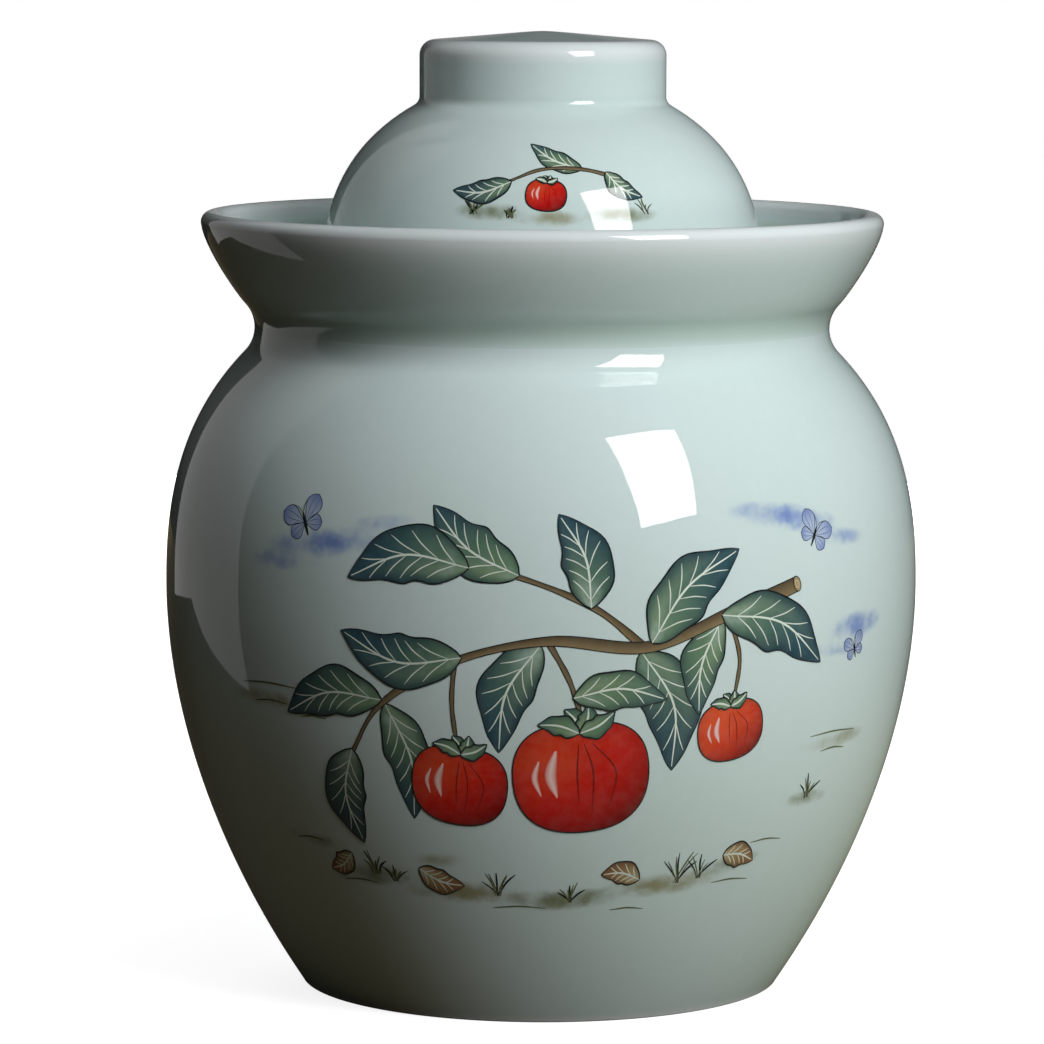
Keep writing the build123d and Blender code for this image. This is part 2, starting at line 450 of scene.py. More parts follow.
class Shading:
    """A material's node tree, with short calls for the nodes used here."""

    def __init__(self, name):
        self.material = bpy.data.materials.new(name)
        self.material.use_nodes = True
        self.tree = self.material.node_tree
        self.surface = self.tree.nodes["Principled BSDF"]

    @classmethod
    def over(cls, world):
        """The same calls for a world."""
        s = cls.__new__(cls)
        s.tree = world.node_tree
        s.surface = s.tree.nodes["Background"]
        return s

    def node(self, kind, **settings):
        node = self.tree.nodes.new(kind)
        for key, value in settings.items():
            setattr(node, key, value)
        return node

    def put(self, value, socket):
        if isinstance(value, bpy.types.NodeSocket):
            self.tree.links.new(value, socket)
        else:
            socket.default_value = value

    def position(self):
        return self.node("ShaderNodeTexCoord").outputs["Object"]

    def attribute(self, name):
        return self.node("ShaderNodeAttribute", attribute_name=name).outputs["Fac"]

    def noise(self, scale, detail=3.0, roughness=0.5):
        node = self.node("ShaderNodeTexNoise")
        self.put(self.position(), node.inputs["Vector"])
        node.inputs["Scale"].default_value = scale
        node.inputs["Detail"].default_value = detail
        node.inputs["Roughness"].default_value = roughness
        return node.outputs["Fac"]

    def spread(self, value, low, high, to_low=0.0, to_high=1.0):
        """A value's way from low to high, turned smoothly into one from to_low to to_high."""
        node = self.node("ShaderNodeMapRange", interpolation_type="SMOOTHSTEP")
        self.put(value, node.inputs["Value"])
        for key, number in zip(("From Min", "From Max", "To Min", "To Max"), (low, high, to_low, to_high)):
            node.inputs[key].default_value = number
        return node.outputs["Result"]

    def math(self, operation, a, b=0.0):
        node = self.node("ShaderNodeMath", operation=operation)
        self.put(a, node.inputs[0])
        self.put(b, node.inputs[1])
        return node.outputs[0]

    def mix(self, factor, a, b):
        node = self.node("ShaderNodeMix", data_type="RGBA")
        self.put(factor, node.inputs["Factor"])
        self.put(a, node.inputs["A"])
        self.put(b, node.inputs["B"])
        return node.outputs["Result"]

    def bump(self, height, distance, normal=None):
        node = self.node("ShaderNodeBump")
        self.put(height, node.inputs["Height"])
        node.inputs["Distance"].default_value = distance
        if normal is not None:
            self.put(normal, node.inputs["Normal"])
        return node.outputs["Normal"]


celadon = srgb(202, 219, 219)
celadon_thin = srgb(216, 225, 226)
celadon_pooled = srgb(172, 197, 186)
celadon_cloud = srgb(200, 218, 216)
celadon_fleck = srgb(208, 225, 224)
bare_clay = srgb(214, 196, 174)
bare_clay_dark = srgb(196, 172, 146)
glaze_ior = 1.52
glaze_roughness = 0.02, 0.04
clay_roughness = 0.7
wave_depth = 0.00007
ripple_depth = 0.000003


def celadon_colour(s):
    """The glaze's own colour, with faint clouds and a fine mottle."""
    colour = s.mix(s.spread(s.noise(14.0, 2.0), 0.35, 0.7), celadon, celadon_cloud)
    return s.mix(s.spread(s.noise(260.0, 2.0), 0.45, 0.8, 0.0, 0.25), colour, celadon_fleck)


def set_gloss(s, bare=None):
    """The shine of fired glaze, whose surface is a little wavy; bare clay is matt."""
    roughness = s.spread(s.noise(30.0, 2.0), 0.3, 0.7, *glaze_roughness)
    if bare is not None:
        roughness = s.math("MAXIMUM", roughness, s.math("MULTIPLY", bare, clay_roughness))
    s.put(roughness, s.surface.inputs["Roughness"])
    s.surface.inputs["IOR"].default_value = glaze_ior
    wave = s.bump(s.noise(45.0, 1.0), wave_depth)
    s.put(s.bump(s.noise(420.0, 2.0), ripple_depth, wave), s.surface.inputs["Normal"])


def glaze_material():
    """Celadon glaze: thin and pale on edges, greener where it pools, and missing where the clay is bare."""
    s = Shading("celadon_glaze")
    pooling = s.attribute("pooling")
    colour = celadon_colour(s)
    colour = s.mix(s.spread(pooling, 0.05, 0.8), colour, celadon_pooled)
    colour = s.mix(s.spread(pooling, -0.05, -0.8), colour, celadon_thin)
    bare = s.spread(s.attribute("bare"), 0.3, 0.7)
    clay = s.mix(s.noise(900.0, 4.0), bare_clay, bare_clay_dark)
    s.put(s.mix(bare, colour, clay), s.surface.inputs["Base Color"])
    set_gloss(s, bare)
    return s.material


# Painted decoration. It is drawn on an unrolled sheet, in millimetres, and laid on the wall as thin films.
# A place on the sheet is a complex number: its real part runs round the jar and its imaginary part up it.

# How deep a film reaches into the wall, and how much higher each level lies than the one before
film_root = -0.05
film_step = 0.010


class Skin:
    """The outer wall of a turned piece as a sheet, which starts at the front at a height."""

    def __init__(self, outline, front_height):
        wall = np.array(outline.points[outline.wall[0]:outline.wall[1] + 1])
        self.wall = wall
        self.lengths = np.concatenate([[0], np.cumsum(abs(np.diff(wall)))])
        slope = np.gradient(wall)
        self.outward = -1j * slope / abs(slope)
        self.start = np.interp(front_height, wall.imag, self.lengths)
        self.radius = np.interp(self.start, self.lengths, wall.real)

    def along(self, values, place):
        return np.interp(place, self.lengths, values.real) + 1j * np.interp(place, self.lengths, values.imag)

    def lay(self, sheet, lift):
        """Points and normals in space for places on the sheet, lifted off the wall."""
        place = self.start + sheet.imag * MM
        outward = self.along(self.outward, place)
        outward = outward / abs(outward)
        point = self.along(self.wall, place) + outward * lift * MM
        turn = sheet.real * MM / self.radius
        def in_space(value):
            return np.stack([value.real * np.sin(turn), -value.real * np.cos(turn), value.imag], axis=-1)
        return in_space(point), in_space(outward)


def through(*places, count=24):
    """A smooth run of places through a few given ones."""
    knots = np.array(places)
    ends = np.concatenate([[2 * knots[0] - knots[1]], knots, [2 * knots[-1] - knots[-2]]])
    run = []
    for t in np.linspace(0, len(knots) - 1, count):
        k = min(int(t), len(knots) - 2)
        f = t - k
        a, b, c, d = ends[k:k + 4]
        bend, twist = 2 * a - 5 * b + 4 * c - d, 3 * b - a - 3 * c + d
        run.append(0.5 * (2 * b + (c - a) * f + bend * f * f + twist * f ** 3))
    return np.array(run)


def blend(a, b, share):
    """One colour turned into another by a share at each point."""
    share = np.clip(share, 0, 1)[..., None]
    return np.array(a)[..., :3] * (1 - share) + np.array(b)[..., :3] * share


def tilted(spots, centre, radii, tilt):
    """Places measured in two radii from a centre, as places on the sheet."""
    return centre + (spots.real * radii[0] + 1j * spots.imag * radii[1]) * cmath.exp(1j * radians(tilt))


def sides(run):
    """The direction to the right of a run at each of its places."""
    tangent = np.gradient(run)
    return -1j * tangent / abs(tangent)


class Painting:
    """Thin closed films on a skin, gathered into one piece."""

    def __init__(self, skin):
        self.skin = skin
        self.vertices, self.normals, self.colours, self.faces = [], [], [], []

    def film(self, sheet, colours, level, ring=False, cover=1.0):
        """A film over a grid of places, rows by columns; in a ring the columns close round a centre."""
        rows, columns = sheet.shape
        count = rows * columns
        base = len(self.vertices)
        colours = np.concatenate([colours, np.broadcast_to(cover, sheet.shape)[..., None]], axis=-1)
        for lift in (film_root, film_step * level):
            points, normals = self.skin.lay(sheet, lift)
            self.vertices += points.reshape(-1, 3).tolist()
            self.normals += normals.reshape(-1, 3).tolist()
            self.colours += colours.reshape(-1, 4).tolist()
        low = base + np.arange(count).reshape(rows, columns)
        top = low + count
        if ring:
            caps = [top[0][::-1].tolist(), low[0].tolist()]
            border = [(rows - 1, c) for c in range(columns - 1, -1, -1)]
            low, top = (np.concatenate([grid, grid[:, :1]], axis=1) for grid in (low, top))
            self.faces += caps
            columns += 1
        else:
            border = (
                [(0, c) for c in range(columns - 1)]
                + [(r, columns - 1) for r in range(rows - 1)]
                + [(rows - 1, c) for c in range(columns - 1, 0, -1)]
                + [(r, 0) for r in range(rows - 1, 0, -1)]
            )
        for r in range(rows - 1):
            for c in range(columns - 1):
                corners = ((r, c), (r, c + 1), (r + 1, c + 1), (r + 1, c))
                self.faces.append([int(top[k]) for k in corners])
                self.faces.append([int(low[k]) for k in reversed(corners)])
        for here, there in zip(border, border[1:] + border[:1]):
            self.faces.append([int(low[here]), int(low[there]), int(top[there]), int(top[here])])

    def stroke(self, run, width, colour, level, edge=None, columns=3):
        """A line of a width, or of a width at each place, which may turn to another colour at its edges."""
        across = np.linspace(-1, 1, columns)
        width = np.broadcast_to(width, run.shape)
        sheet = run[:, None] + sides(run)[:, None] * across[None] * width[:, None] / 2
        share = np.broadcast_to(abs(across)[None] ** 1.5, sheet.shape)
        self.film(sheet, blend(colour, colour if edge is None else edge, share), level)

    def line(self, run, width, colour, level):
        """A brush line that swells in the middle and thins out at both ends."""
        t = np.linspace(0, 1, len(run))
        self.stroke(run, width * (0.25 + 0.75 * np.sin(pi * (0.06 + 0.88 * t))), colour, level, columns=2)

    def leaf(self, base, tip, width, bend, level, young=0.0, turn=0.0, wave=0.06, veins=5, dyes=None):
        """A leaf with its fill, ink outline and pale veins; bend moves its middle to the right."""
        chord = tip - base
        length = abs(chord)
        middle = (base + tip) / 2 - 1j * chord / length * bend
        green, teal, dark, pale = dyes or (leaf_green, leaf_teal, leaf_dark, leaf_pale)
        rows = max(18, int(length / 1.1))
        t = np.linspace(0, 1, rows)
        rib = through(base, middle, tip, count=rows)
        right = sides(rib)
        full = np.sin(pi * t ** 0.82) ** 0.85
        def half(side):
            broad = wave * np.sin(2 * pi * (2.6 * t + 0.35 * side + turn))
            ripple = 1 + broad + 0.4 * wave * np.sin(15 * t + side)
            return 0.06 + width / 2 * np.clip(full, 0, 1) * ripple * (1 + 0.05 * side)
        left_half, right_half = half(-1), half(1)
        columns = max(5, 2 * int(width / 3.2) + 1)
        across = np.linspace(-1, 1, columns)
        reach = np.where(across[None] < 0, left_half[:, None], right_half[:, None])
        sheet = rib[:, None] + right[:, None] * across[None] * reach
        along = np.broadcast_to(t[:, None], sheet.shape)
        beside = np.broadcast_to(across[None], sheet.shape)
        colours = blend(green, teal, along * 1.5 - 0.05 - young)
        colours = blend(colours, dark, 0.8 * abs(beside) ** 2.5 + 0.35 * along ** 3 - 0.3 * young)
        light = (0.35 + 0.3 * young) * np.exp(-((beside + 0.45) / 0.28) ** 2) * (1 - along)
        colours = blend(colours, pale, light)
        cover = 1 - 0.35 * np.clip(1 - along * 2.2, 0, 1) * (1 - beside ** 2)
        self.film(sheet, colours, level, cover=cover)
        self.line(rib[:-1], 0.62, vein, level + 1)
        for k in range(veins):
            at = 0.12 + 0.66 * k / veins
            for side, reach_half in ((-1, left_half), (1, right_half)):
                start, stop = int(at * (rows - 1)), int(min(0.96, at + 0.2) * (rows - 1))
                root = rib[start]
                end = rib[stop] + side * right[stop] * reach_half[stop] * 0.8
                bow = (root + end) / 2 + (rib[stop] - rib[start]) * 0.10
                self.line(through(root, bow, end, count=9), 0.34, vein, level + 1)
        edge = np.concatenate([rib - right * left_half, (rib + right * right_half)[::-1]])
        self.stroke(edge, 0.36 + 0.14 * np.sin(np.linspace(0, 9, len(edge))), ink, level + 2, columns=2)

    def round_fill(self, centre, radii, colour_at, level, tilt=0.0, shape=None, count=64, cover_at=None):
        """A round film; colour_at gives the colour at places measured in its radii from the centre."""
        rings = np.sin(np.linspace(0.03, pi / 2, max(9, int(max(radii)))))
        angle = np.linspace(0, 2 * pi, count, endpoint=False)
        unit = np.sin(angle) + 1j * np.cos(angle)
        reach = np.ones(count) if shape is None else shape(angle)
        spots = rings[:, None] * (unit * reach)[None]
        sheet = tilted(spots, centre, radii, tilt)
        cover = 1.0 if cover_at is None else cover_at(spots)
        self.film(sheet, colour_at(spots), level, ring=True, cover=cover)
        return np.append(sheet[-1], sheet[-1, 0])

    def washes(self, patches, level):
        """Soft patches of thin colour that run together, each a centre, radii, tilt, colour and strength."""
        def covers(sheet):
            shares = []
            for centre, radii, tilt, _, strength in patches:
                spot = (sheet - centre) * cmath.exp(-1j * radians(tilt))
                distance = abs(spot.real / radii[0] + 1j * spot.imag / radii[1])
                shares.append(strength * np.clip(1 - distance ** 1.7, 0, 1))
            return np.array(shares)
        dyes = np.array([patch[3][:3] for patch in patches])
        for centre, radii, tilt, _, _ in patches:
            def colour_at(spots):
                weights = covers(tilted(spots, centre, radii, tilt)) + 1e-4
                return np.einsum("krc,kd->rcd", weights / weights.sum(axis=0), dyes)
            def cover_at(spots):
                return 1 - np.prod(1 - covers(tilted(spots, centre, radii, tilt)), axis=0)
            self.round_fill(centre, radii, colour_at, level, tilt, count=80, cover_at=cover_at)

    def persimmon(self, centre, radius, level, ripe=1.0, tilt=0.0):
        """A fruit in crimson, or orange where less ripe, with its highlight, creases, outline and calyx."""
        def shape(angle):
            return 1 - 0.10 * np.exp(-(np.sin(angle / 2) / 0.22) ** 2) - 0.03 * np.cos(4 * angle)
        def colour_at(spots):
            low_right = (spots.real * 0.55 - spots.imag * 0.8)
            round_by = np.angle(spots + 0.001 - 0.35j)
            streaks = abs(spots) * (0.10 * np.sin(9 * round_by + 1.0) + 0.08 * np.sin(23 * round_by))
            colours = blend(fruit_orange, fruit_red, 0.25 + 0.75 * ripe + 0.35 * low_right + streaks)
            shade = 0.85 * np.clip(low_right - 0.1, 0, 1) + 0.4 * abs(spots) ** 5
            colours = blend(colours, fruit_dark, shade)
            glow = 0.45 * np.exp(-(abs(spots + 0.42 - 0.25j) / 0.42) ** 2)
            return blend(colours, fruit_orange, glow)
        rim = self.round_fill(centre, (radius * 1.06, radius * 0.9), colour_at, level, tilt, shape, 112)
        turn = cmath.exp(1j * radians(tilt)) * radius
        def spot(x, y):
            return centre + (x + 1j * y) * turn
        for places, width, ends in (
            ((spot(-0.62, 0.28), spot(-0.70, 0.02), spot(-0.62, -0.26)), 0.11, (0.25, pi - 0.15)),
            ((spot(-0.36, 0.42), spot(-0.46, 0.05), spot(-0.38, -0.30)), 0.20, (0.2, pi - 0.1)),
        ):
            swell = radius * width * np.sin(np.linspace(*ends, 12))
            self.stroke(through(*places, count=12), swell, fruit_light, level + 1, fruit_red, 5)
        for x, low in ((0.18, -0.62), (0.52, -0.5), (-0.06, -0.40)):
            crease = through(spot(x * 0.35, 0.50), spot(x, 0.05), spot(x * 0.8, low), count=30)
            self.line(crease, radius * 0.028, fruit_dark, level + 1)
        self.stroke(rim, 0.40, ink, level + 2, columns=2)
        calyx = spot(0, 0.66)
        for k, (angle, size) in enumerate(((-28, 0.42), (20, 0.44), (-74, 0.62), (62, 0.60))):
            tip = calyx + cmath.exp(1j * radians(90 - angle)) * turn * size
            self.leaf(
                calyx, tip, radius * 0.30, radius * 0.05, level + 3 + 3 * k,
                young=0.7, veins=0, wave=0.1,
            )

    def twig(self, run, start_width, end_width, level):
        """A branch with bark that is darker on its under side, and an ink line along both sides."""
        t = np.linspace(0, 1, len(run))
        width = start_width + (end_width - start_width) * t + 0.10 * start_width * np.sin(19 * t)
        across = np.linspace(-1, 1, 5)
        right = sides(run)
        sheet = run[:, None] + right[:, None] * across[None] * width[:, None] / 2
        under = -right.imag[:, None] * across[None]
        self.film(sheet, blend(bark, bark_dark, 0.45 - 0.55 * under), level)
        for side in (-1, 1):
            self.stroke(run + side * right * width / 2, 0.26, ink, level + 1, columns=2)

    def butterfly(self, centre, size, tilt, level):
        """A butterfly with two wings on each side, each with its ink outline and veins, a body and feelers."""
        turn = size * cmath.exp(1j * radians(tilt))
        for side in (-1, 1):
            for angle, reach, wide in ((48, 1.0, 0.62), (108, 0.66, 0.50)):
                direction = sin(radians(angle)) * side + 1j * cos(radians(angle))
                tip = centre + direction * reach * turn
                chord = tip - centre
                rows = 14
                t = np.linspace(0, 1, rows)
                half = wide * size / 2 * np.sin(pi * np.clip(t, 0.02, 1) ** 1.7) ** 0.7 + 0.05
                run = centre + chord * t
                across = np.linspace(-1, 1, 7)
                sheet = run[:, None] - 1j * chord / abs(chord) * across[None] * half[:, None]
                along = np.broadcast_to(t[:, None], sheet.shape)
                self.film(sheet, blend(wing_pale, wing_blue, along ** 1.5), level)
                edge = np.concatenate([sheet[:, 0], sheet[::-1, -1]])
                self.stroke(edge, 0.22, wing_ink, level + 2, columns=2)
                for share in (-0.4, 0.3):
                    column = 3 + round(3 * share)
                    self.line(sheet[:-2, column], 0.16, wing_ink, level + 1)
        body = through(centre + 0.34j * turn, centre, centre - 0.42j * turn, count=10)
        self.line(body, size * 0.11, ink, level + 3)
        for side in (-1, 1):
            bend, tip = centre + (0.12 * side + 0.55j) * turn, centre + (0.34 * side + 0.74j) * turn
            self.line(through(centre + 0.3j * turn, bend, tip, count=8), 0.16, ink, level + 3)

    def tuft(self, root, height, level, seed, blades=7):
        """A tuft of grass blades that fan out from a root."""
        spread = np.random.default_rng(seed)
        for k in range(blades):
            lean = (k - (blades - 1) / 2) / blades * 1.5 + spread.uniform(-0.15, 0.15)
            tall = height * spread.uniform(0.55, 1.0)
            tip = root + tall * (sin(lean) + 1j * cos(lean)) + lean * tall * 0.25
            middle = (root + tip) / 2 + 0.10j * tall
            start = root + spread.uniform(-1.2, 1.2)
            blade = through(start, middle, tip, count=9)
            self.line(blade, spread.uniform(0.4, 0.75), grass if k % 3 else ink, level)

    def piece(self, name, body, material):
        """All films so far as one object that rides on a body."""
        mesh = bpy.data.meshes.new(name)
        mesh.from_pydata(self.vertices, [], self.faces)
        paint = mesh.attributes.new("paint", "FLOAT_COLOR", "POINT")
        paint.data.foreach_set("color", np.array(self.colours).ravel())
        mesh.shade_smooth()
        mesh.normals_split_custom_set_from_vertices(self.normals)
        mesh.materials.append(material)
        piece = bpy.data.objects.new(name, mesh)
        bpy.context.scene.collection.objects.link(piece)
        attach(piece, body)


leaf_dark = srgb(36, 58, 70)
leaf_teal = srgb(52, 86, 96)
leaf_green = srgb(96, 128, 98)
leaf_pale = srgb(150, 170, 132)
vein = srgb(216, 226, 214)
ink = srgb(26, 32, 34)
fruit_light = srgb(240, 208, 200)
fruit_orange = srgb(222, 84, 40)
fruit_red = srgb(200, 22, 16)
fruit_dark = srgb(122, 12, 14)
bark = srgb(134, 116, 84)
bark_dark = srgb(74, 62, 46)
wood = srgb(206, 188, 148)
grass = srgb(96, 104, 70)
moss = srgb(112, 118, 82)
moss_pale = srgb(142, 140, 104)
mist = srgb(112, 138, 198)
fallen = srgb(170, 150, 98), srgb(150, 106, 66), srgb(98, 74, 52), srgb(208, 192, 146)
wing_pale = srgb(186, 202, 222)
wing_blue = srgb(112, 134, 190)
wing_ink = srgb(58, 66, 92)


def paint_material():
    """Enamel colours fired into the glaze, laid on as uneven washes that thin out to the glaze itself."""
    s = Shading("painted_enamel")
    attribute = s.node("ShaderNodeAttribute", attribute_name="paint")
    paint, cover = attribute.outputs["Color"], attribute.outputs["Alpha"]
    wash = s.spread(s.noise(300.0, 4.0, 0.6), 0.3, 0.75, 0.0, 0.08)
    colour = s.mix(wash, paint, s.mix(0.45, paint, srgb(196, 210, 204)))
    shade = s.spread(s.noise(120.0, 2.0), 0.35, 0.7, 0.0, 0.14)
    colour = s.mix(shade, colour, s.mix(0.5, paint, srgb(20, 26, 30)))
    thinning = s.math("MULTIPLY", cover, s.math("SUBTRACT", 1.0, cover))
    grain = s.math("MULTIPLY", thinning, s.spread(s.noise(130.0, 3.0, 0.55), 0.3, 0.7, -0.9, 0.9))
    share = s.spread(s.math("ADD", cover, grain), 0.0, 1.0)
    s.put(s.mix(share, celadon_colour(s), colour), s.surface.inputs["Base Color"])
    set_gloss(s)
    return s.material


def paint_pot(skin, enamel):
    """A branch with persimmons on the front, butterflies in mist, and moss, grass and fallen leaves below."""
    p = Painting(skin)
    p.washes((
        (-64 + 21j, (24, 5.0), 4, mist, 0.75),
        (-80 + 15j, (16, 3.2), -2, mist, 0.5),
        (-48 + 27j, (13, 3.0), 8, mist, 0.5),
        (76 + 28j, (23, 4.5), -8, mist, 0.75),
        (96 + 21j, (15, 3.2), -4, mist, 0.5),
        (104 - 5j, (18, 4.5), 6, mist, 0.7),
        (94 - 11j, (12, 2.5), -3, mist, 0.4),
    ), 2)
    p.piece("painted_mist", "jar", enamel)

    p = Painting(skin)
    p.washes((
        (-56 - 76j, (20, 4.6), 4, moss, 0.75),
        (-26 - 80j, (24, 4.6), -2, moss_pale, 0.8),
        (8 - 82j, (22, 4.2), 2, moss, 0.75),
        (42 - 78j, (24, 4.4), 3, moss_pale, 0.75),
        (66 - 73j, (14, 3.4), 6, moss, 0.6),
        (-78 - 67j, (13, 3.0), -6, moss, 0.5),
        (-34 - 70j, (13, 3.0), 3, moss_pale, 0.45),
        (-84 - 25j, (20, 3.2), -2, moss_pale, 0.55),
        (100 - 38j, (18, 3.2), 3, moss_pale, 0.6),
        (92 - 55j, (12, 2.8), 0, moss, 0.6),
    ), 2)
    p.piece("painted_moss", "jar", enamel)

    p = Painting(skin)
    for k, (root, height) in enumerate((
        (-56 - 76j, 8), (-49 - 78j, 6), (-14 - 81j, 9), (10 - 83j, 7),
        (46 - 78j, 11), (54 - 77j, 8), (92 - 55j, 8),
    )):
        p.tuft(root, height, 5, seed=k)
    for start, length in (
        (-97 - 21j, 22), (-92 - 26j, 13), (-74 - 29j, 9), (88 - 36j, 22), (94 - 41j, 12), (-86 - 67j, 12),
        (-70 - 79j, 14), (60 - 79j, 15), (72 - 67j, 13), (-16 - 85j, 18), (24 - 86j, 12),
    ):
        p.line(through(start, start + length / 2 + 0.6j, start + length, count=11), 0.5, grass, 5)
    p.piece("painted_grass", "jar", enamel)

    p = Painting(skin)
    p.leaf(-40 - 73j, -25 - 78j, 8, 1.5, 8, dyes=fallen, turn=0.3, veins=4)
    p.leaf(-64 - 70j, -74 - 76j, 7, -1.2, 8, dyes=fallen, turn=0.7, veins=4)
    p.leaf(33 - 76j, 20 - 74j, 7.5, 1.4, 8, dyes=fallen, turn=0.1, veins=4)
    p.leaf(62 - 70j, 75 - 73j, 8, -1.2, 8, dyes=fallen, turn=0.5, veins=4)
    p.piece("painted_fallen_leaves", "jar", enamel)

    p = Painting(skin)
    bough = through(78 + 9j, 54 + 2j, 30 - 6j, 2 - 4j, -24 - 10j, -46 - 23j, -57 - 38j, count=110)
    spray = through(29 - 6j, 15 + 5j, -4 + 13j, -22 + 17j, count=40)
    p.leaf(28 - 7j, 39 - 42j, 17, -5, 2, turn=0.2)
    p.leaf(0 - 5j, -12 - 36j, 15, 4, 2, turn=0.5)
    p.leaf(-45 - 23j, -39 - 57j, 14, -4, 2, young=0.25)
    p.leaf(52 + 1j, 46 - 26j, 12, 3, 6, young=0.5, turn=0.7)
    p.twig(through(2 - 4j, 8 - 15j, 12 - 27j, count=20), 1.5, 1.1, 10)
    p.twig(through(-24 - 10j, -25 - 22j, -24 - 34j, count=18), 1.3, 1.0, 10)
    p.twig(through(54 + 2j, 58 - 10j, 57 - 22j, count=18), 1.3, 0.9, 10)
    p.twig(spray, 2.2, 0.9, 10)
    p.twig(bough, 4.2, 1.1, 12)
    def year_rings(spots):
        return blend(wood, bark, 0.5 - 0.5 * np.cos(13 * abs(spots)))
    cut = p.round_fill(78 + 9j, (1.3, 2.15), year_rings, 14, tilt=16)
    p.stroke(cut, 0.3, ink, 16, columns=2)
    p.piece("painted_branch", "jar", enamel)

    p = Painting(skin)
    p.persimmon(-24 - 46j, 14, 13, ripe=0.85, tilt=-6)
    p.persimmon(57 - 31j, 10.5, 13, ripe=0.3, tilt=8)
    p.persimmon(12 - 43j, 19.5, 13, ripe=1.0, tilt=4)
    p.piece("painted_fruit", "jar", enamel)

    p = Painting(skin)
    p.leaf(-6 + 14j, -31 + 33j, 14, -3, 14, young=0.3, turn=0.6)
    p.leaf(-20 + 16j, -56 + 12j, 16, 5, 18, turn=0.1)
    p.leaf(14 + 5j, 5 + 31j, 14, 3, 14, turn=0.3)
    p.leaf(31 - 5j, 58 + 20j, 16, -4, 14, young=0.15)
    p.leaf(52 + 2j, 88 - 14j, 16, -5, 14, turn=0.8)
    p.leaf(-22 - 9j, -58 - 3j, 15, -5, 14, turn=0.45)
    p.leaf(-46 - 22j, -79 - 28j, 14, 4, 14, young=0.2, turn=0.9)
    p.leaf(-57 - 37j, -58 - 66j, 14, 4, 14, turn=0.35)
    p.leaf(9 - 20j, 36 - 21j, 11, -3, 24, young=0.6, veins=4)
    p.piece("painted_leaves", "jar", enamel)

    p = Painting(skin)
    p.butterfly(-72 + 26j, 9, 24, 4)
    p.butterfly(86 + 22j, 8, -30, 4)
    p.butterfly(104 - 12j, 6, 18, 4)
    p.piece("painted_butterflies", "jar", enamel)


def paint_lid(skin, enamel):
    """A sprig with one small persimmon over a strip of moss on the front of the outer lid."""
    p = Painting(skin)
    p.washes((
        (-15 - 6j, (11, 3.2), 0, moss, 0.75),
        (2 - 8j, (12, 2.8), 0, moss_pale, 0.7),
        (22 - 7j, (12, 3.0), 0, moss, 0.7),
    ), 2)
    for k, (root, height) in enumerate(((-19 - 7j, 5), (-9 - 8j, 4), (29 - 7j, 5))):
        p.tuft(root, height, 4, seed=50 + k, blades=5)
    p.twig(through(23 + 4j, 12 + 7j, 0 + 7j, -10 + 3j, count=34), 1.3, 0.7, 8)
    p.leaf(12 + 7j, -4 + 16j, 6.5, -1.5, 4, young=0.5, veins=4)
    p.leaf(-9 + 3j, -26 + 0j, 7, -2, 11, turn=0.4, veins=4)
    p.leaf(19 + 6j, 29 - 2j, 6, 1.5, 11, young=0.3, veins=4)
    p.persimmon(1 - 1j, 5.6, 11, ripe=0.9, tilt=-5)
    p.piece("painted_sprig", "outer_lid", enamel)


sprig_height = 0.236

glaze = glaze_material()
enamel = paint_material()
pot_outline = jar_body_outline()
lid_outline = outer_lid_outline()
for piece in (
    lathe("pot", pot_outline, "jar_body"),
    lathe("collar", water_trough_outline(), "water_trough"),
    lathe("bell_lid", lid_outline, "outer_lid"),
    lathe("plug_lid", inner_lid_outline(), "inner_lid"),
):
    piece.data.materials.append(glaze)
paint_pot(Skin(pot_outline, belly_height), enamel)
paint_lid(Skin(lid_outline, sprig_height), enamel)


# Camera, lights and floor

camera_distance = 1.5456
camera_height = 0.309
camera_pitch = 6.40
camera_lens = 181.7
camera_sensor = 36.0
camera_shift = -0.0184
camera_roll = 0.22


def add_camera():
    data = bpy.data.cameras.new("camera")
    data.lens = camera_lens
    data.sensor_width = camera_sensor
    data.shift_x = camera_shift
    camera = bpy.data.objects.new("camera", data)
    camera.location = (0, -camera_distance, camera_height)
    pitch = Matrix.Rotation(radians(90 - camera_pitch), 3, "X")
    roll = Matrix.Rotation(radians(camera_roll), 3, "Z")
    camera.rotation_euler = (pitch @ roll).to_euler()
    bpy.context.scene.collection.objects.link(camera)
    bpy.context.scene.camera = camera


def outwards(azimuth, elevation):
    """The direction at an azimuth to the right of the front and an elevation, in degrees."""
    return Vector((
        sin(radians(azimuth)) * cos(radians(elevation)),
        -cos(radians(azimuth)) * cos(radians(elevation)),
        sin(radians(elevation)),
    ))


def add_light(name, place, turned_to, size, brightness, roll=0.0, gloss=True, glow=True):
    """A softbox whose back points to an azimuth and elevation, and whose brightness is 1 for plain white.

    gloss is whether it shows in the glaze, and glow whether it lights its colour.
    """
    data = bpy.data.lights.new(name, "AREA")
    data.shape = "RECTANGLE"
    data.size, data.size_y = size
    data.energy = brightness * pi * size[0] * size[1]
    light = bpy.data.objects.new(name, data)
    light.matrix_world = (
        Matrix.Translation(place)
        @ outwards(*turned_to).to_track_quat("Z", "Y").to_matrix().to_4x4()
        @ Matrix.Rotation(radians(roll), 4, "Z")
    )
    light.visible_camera = False
    light.visible_glossy = gloss
    light.visible_diffuse = glow
    bpy.context.scene.collection.objects.link(light)


def add_fill(name, azimuth, elevation, distance, raised, size, brightness):
    """A softbox that shows in no reflection, at a distance in a direction from a point on the jar's axis."""
    place = outwards(azimuth, elevation) * distance + Vector((0, 0, raised))
    add_light(name, place, (azimuth, elevation), size, brightness, gloss=False)


floor_half = 6.0
shadow_reach = 0.08, 0.34
shadow_white = 0.86
